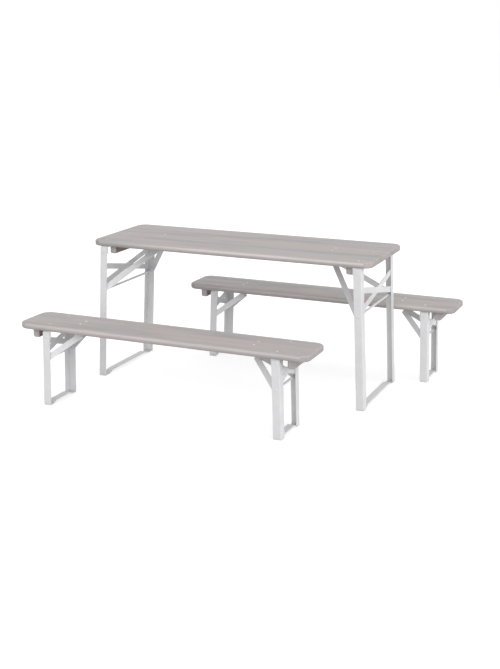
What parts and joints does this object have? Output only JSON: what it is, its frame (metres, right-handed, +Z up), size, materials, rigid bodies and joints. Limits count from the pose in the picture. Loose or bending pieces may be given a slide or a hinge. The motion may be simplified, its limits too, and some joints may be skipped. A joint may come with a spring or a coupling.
{
  "type": "kids table with folding benches",
  "caption": "Low wooden table with two matching benches, each board on steel leg frames with cross and V braces that fold flat.",
  "frame": {"origin": "On the floor under the centre of the whole set's bounding box", "axes": "+X along the boards (right in the picture), +Y away from the viewer across the boards, +Z up"},
  "size_m": [1.341, 0.9506, 0.52],
  "materials": {
    "table_board": "warm grey glaze, satin, fine grain along the length",
    "table_left_batten": "warm grey glaze, satin, fine grain along the length",
    "table_left_hinge_strap": "light grey white powder coat, satin",
    "table_left_brace_catch": "light grey white powder coat, satin",
    "table_left_near_upright": "light grey white powder coat, satin",
    "table_left_rear_upright": "light grey white powder coat, satin",
    "table_left_foot_strip": "light grey white powder coat, satin",
    "table_left_cross_brace": "light grey white powder coat, satin",
    "table_left_brace_rod": "light grey white powder coat, satin",
    "table_left_brace_strip": "light grey white powder coat, satin",
    "table_right_batten": "warm grey glaze, satin, fine grain along the length",
    "table_right_hinge_strap": "light grey white powder coat, satin",
    "table_right_brace_catch": "light grey white powder coat, satin",
    "table_right_near_upright": "light grey white powder coat, satin",
    "table_right_rear_upright": "light grey white powder coat, satin",
    "table_right_foot_strip": "light grey white powder coat, satin",
    "table_right_cross_brace": "light grey white powder coat, satin",
    "table_right_brace_rod": "light grey white powder coat, satin",
    "table_right_brace_strip": "light grey white powder coat, satin",
    "front_bench_board": "warm grey glaze, satin, fine grain along the length",
    "front_bench_left_batten": "warm grey glaze, satin, fine grain along the length",
    "front_bench_left_hinge_strap": "light grey white powder coat, satin",
    "front_bench_left_brace_catch": "light grey white powder coat, satin",
    "front_bench_left_near_upright": "light grey white powder coat, satin",
    "front_bench_left_rear_upright": "light grey white powder coat, satin",
    "front_bench_left_foot_strip": "light grey white powder coat, satin",
    "front_bench_left_cross_brace": "light grey white powder coat, satin",
    "front_bench_left_brace_rod": "light grey white powder coat, satin",
    "front_bench_left_brace_strip": "light grey white powder coat, satin",
    "front_bench_right_batten": "warm grey glaze, satin, fine grain along the length",
    "front_bench_right_hinge_strap": "light grey white powder coat, satin",
    "front_bench_right_brace_catch": "light grey white powder coat, satin",
    "front_bench_right_near_upright": "light grey white powder coat, satin",
    "front_bench_right_rear_upright": "light grey white powder coat, satin",
    "front_bench_right_foot_strip": "light grey white powder coat, satin",
    "front_bench_right_cross_brace": "light grey white powder coat, satin",
    "front_bench_right_brace_rod": "light grey white powder coat, satin",
    "front_bench_right_brace_strip": "light grey white powder coat, satin",
    "rear_bench_board": "warm grey glaze, satin, fine grain along the length",
    "rear_bench_left_batten": "warm grey glaze, satin, fine grain along the length",
    "rear_bench_left_hinge_strap": "light grey white powder coat, satin",
    "rear_bench_left_brace_catch": "light grey white powder coat, satin",
    "rear_bench_left_near_upright": "light grey white powder coat, satin",
    "rear_bench_left_rear_upright": "light grey white powder coat, satin",
    "rear_bench_left_foot_strip": "light grey white powder coat, satin",
    "rear_bench_left_cross_brace": "light grey white powder coat, satin",
    "rear_bench_left_brace_rod": "light grey white powder coat, satin",
    "rear_bench_left_brace_strip": "light grey white powder coat, satin",
    "rear_bench_right_batten": "warm grey glaze, satin, fine grain along the length",
    "rear_bench_right_hinge_strap": "light grey white powder coat, satin",
    "rear_bench_right_brace_catch": "light grey white powder coat, satin",
    "rear_bench_right_near_upright": "light grey white powder coat, satin",
    "rear_bench_right_rear_upright": "light grey white powder coat, satin",
    "rear_bench_right_foot_strip": "light grey white powder coat, satin",
    "rear_bench_right_cross_brace": "light grey white powder coat, satin",
    "rear_bench_right_brace_rod": "light grey white powder coat, satin",
    "rear_bench_right_brace_strip": "light grey white powder coat, satin"
  },
  "bodies": {
    "table_top": {"table_board": "table_board", "table_left_batten": "table_left_batten", "table_left_hinge_strap": "table_left_hinge_strap", "table_left_brace_catch": "table_left_brace_catch", "table_right_batten": "table_right_batten", "table_right_hinge_strap": "table_right_hinge_strap", "table_right_brace_catch": "table_right_brace_catch"},
    "table_left_leg": {"table_left_near_upright": "table_left_near_upright", "table_left_rear_upright": "table_left_rear_upright", "table_left_foot_strip": "table_left_foot_strip", "table_left_cross_brace": "table_left_cross_brace", "table_left_brace_rod": "table_left_brace_rod"},
    "table_left_brace": {"table_left_brace_strip": "table_left_brace_strip"},
    "table_right_leg": {"table_right_near_upright": "table_right_near_upright", "table_right_rear_upright": "table_right_rear_upright", "table_right_foot_strip": "table_right_foot_strip", "table_right_cross_brace": "table_right_cross_brace", "table_right_brace_rod": "table_right_brace_rod"},
    "table_right_brace": {"table_right_brace_strip": "table_right_brace_strip"},
    "front_bench_seat": {"front_bench_board": "front_bench_board", "front_bench_left_batten": "front_bench_left_batten", "front_bench_left_hinge_strap": "front_bench_left_hinge_strap", "front_bench_left_brace_catch": "front_bench_left_brace_catch", "front_bench_right_batten": "front_bench_right_batten", "front_bench_right_hinge_strap": "front_bench_right_hinge_strap", "front_bench_right_brace_catch": "front_bench_right_brace_catch"},
    "front_bench_left_leg": {"front_bench_left_near_upright": "front_bench_left_near_upright", "front_bench_left_rear_upright": "front_bench_left_rear_upright", "front_bench_left_foot_strip": "front_bench_left_foot_strip", "front_bench_left_cross_brace": "front_bench_left_cross_brace", "front_bench_left_brace_rod": "front_bench_left_brace_rod"},
    "front_bench_left_brace": {"front_bench_left_brace_strip": "front_bench_left_brace_strip"},
    "front_bench_right_leg": {"front_bench_right_near_upright": "front_bench_right_near_upright", "front_bench_right_rear_upright": "front_bench_right_rear_upright", "front_bench_right_foot_strip": "front_bench_right_foot_strip", "front_bench_right_cross_brace": "front_bench_right_cross_brace", "front_bench_right_brace_rod": "front_bench_right_brace_rod"},
    "front_bench_right_brace": {"front_bench_right_brace_strip": "front_bench_right_brace_strip"},
    "rear_bench_seat": {"rear_bench_board": "rear_bench_board", "rear_bench_left_batten": "rear_bench_left_batten", "rear_bench_left_hinge_strap": "rear_bench_left_hinge_strap", "rear_bench_left_brace_catch": "rear_bench_left_brace_catch", "rear_bench_right_batten": "rear_bench_right_batten", "rear_bench_right_hinge_strap": "rear_bench_right_hinge_strap", "rear_bench_right_brace_catch": "rear_bench_right_brace_catch"},
    "rear_bench_left_leg": {"rear_bench_left_near_upright": "rear_bench_left_near_upright", "rear_bench_left_rear_upright": "rear_bench_left_rear_upright", "rear_bench_left_foot_strip": "rear_bench_left_foot_strip", "rear_bench_left_cross_brace": "rear_bench_left_cross_brace", "rear_bench_left_brace_rod": "rear_bench_left_brace_rod"},
    "rear_bench_left_brace": {"rear_bench_left_brace_strip": "rear_bench_left_brace_strip"},
    "rear_bench_right_leg": {"rear_bench_right_near_upright": "rear_bench_right_near_upright", "rear_bench_right_rear_upright": "rear_bench_right_rear_upright", "rear_bench_right_foot_strip": "rear_bench_right_foot_strip", "rear_bench_right_cross_brace": "rear_bench_right_cross_brace", "rear_bench_right_brace_rod": "rear_bench_right_brace_rod"},
    "rear_bench_right_brace": {"rear_bench_right_brace_strip": "rear_bench_right_brace_strip"}
  },
  "joints": [
    {"name": "front_bench_slide", "type": "slide", "parent": "table_top", "child": "front_bench_seat", "axis": [0, 1, 0], "range_m": [-0.3, 0.19]},
    {"name": "rear_bench_slide", "type": "slide", "parent": "table_top", "child": "rear_bench_seat", "axis": [0, 1, 0], "range_m": [-0.015, 0.3]},
    {"name": "table_left_leg_fold", "type": "hinge", "parent": "table_top", "child": "table_left_leg", "pos_m": [-0.545, 0.09025, 0.48115], "axis": [0, -1, 0], "range_deg": [0, 92.78]},
    {"name": "table_left_brace_turn", "type": "hinge", "parent": "table_left_leg", "child": "table_left_brace", "pos_m": [-0.55219, 0.09025, 0.33315], "axis": [0, -1, 0], "range_deg": [-136.39, 0]},
    {"name": "table_right_leg_fold", "type": "hinge", "parent": "table_top", "child": "table_right_leg", "pos_m": [0.43, 0.09025, 0.48115], "axis": [0, 1, 0], "range_deg": [0, 92.78]},
    {"name": "table_right_brace_turn", "type": "hinge", "parent": "table_right_leg", "child": "table_right_brace", "pos_m": [0.43719, 0.09025, 0.33315], "axis": [0, 1, 0], "range_deg": [-136.39, 0]},
    {"name": "front_bench_left_leg_fold", "type": "hinge", "parent": "front_bench_seat", "child": "front_bench_left_leg", "pos_m": [-0.5608, -0.38775, 0.25115], "axis": [0, -1, 0], "range_deg": [0, 91.8]},
    {"name": "front_bench_left_brace_turn", "type": "hinge", "parent": "front_bench_left_leg", "child": "front_bench_left_brace", "pos_m": [-0.56341, -0.38775, 0.16815], "axis": [0, -1, 0], "range_deg": [-130.28, 0]},
    {"name": "front_bench_right_leg_fold", "type": "hinge", "parent": "front_bench_seat", "child": "front_bench_right_leg", "pos_m": [0.2898, -0.38775, 0.25115], "axis": [0, 1, 0], "range_deg": [0, 91.8]},
    {"name": "front_bench_right_brace_turn", "type": "hinge", "parent": "front_bench_right_leg", "child": "front_bench_right_brace", "pos_m": [0.29241, -0.38775, 0.16815], "axis": [0, 1, 0], "range_deg": [-130.28, 0]},
    {"name": "rear_bench_left_leg_fold", "type": "hinge", "parent": "rear_bench_seat", "child": "rear_bench_left_leg", "pos_m": [-0.2898, 0.38775, 0.25115], "axis": [0, -1, 0], "range_deg": [0, 91.8]},
    {"name": "rear_bench_left_brace_turn", "type": "hinge", "parent": "rear_bench_left_leg", "child": "rear_bench_left_brace", "pos_m": [-0.29241, 0.38775, 0.16815], "axis": [0, -1, 0], "range_deg": [-130.28, 0]},
    {"name": "rear_bench_right_leg_fold", "type": "hinge", "parent": "rear_bench_seat", "child": "rear_bench_right_leg", "pos_m": [0.5608, 0.38775, 0.25115], "axis": [0, 1, 0], "range_deg": [0, 91.8]},
    {"name": "rear_bench_right_brace_turn", "type": "hinge", "parent": "rear_bench_right_leg", "child": "rear_bench_right_brace", "pos_m": [0.56341, 0.38775, 0.16815], "axis": [0, 1, 0], "range_deg": [-130.28, 0]}
  ],
  "couplings": [
    {"joint": "table_left_brace_turn", "follows": "table_left_leg_fold", "ratio": -1.47},
    {"joint": "table_right_brace_turn", "follows": "table_right_leg_fold", "ratio": -1.47},
    {"joint": "front_bench_left_brace_turn", "follows": "front_bench_left_leg_fold", "ratio": -1.4192},
    {"joint": "front_bench_right_brace_turn", "follows": "front_bench_right_leg_fold", "ratio": -1.4192},
    {"joint": "rear_bench_left_brace_turn", "follows": "rear_bench_left_leg_fold", "ratio": -1.4192},
    {"joint": "rear_bench_right_brace_turn", "follows": "rear_bench_right_leg_fold", "ratio": -1.4192}
  ]
}
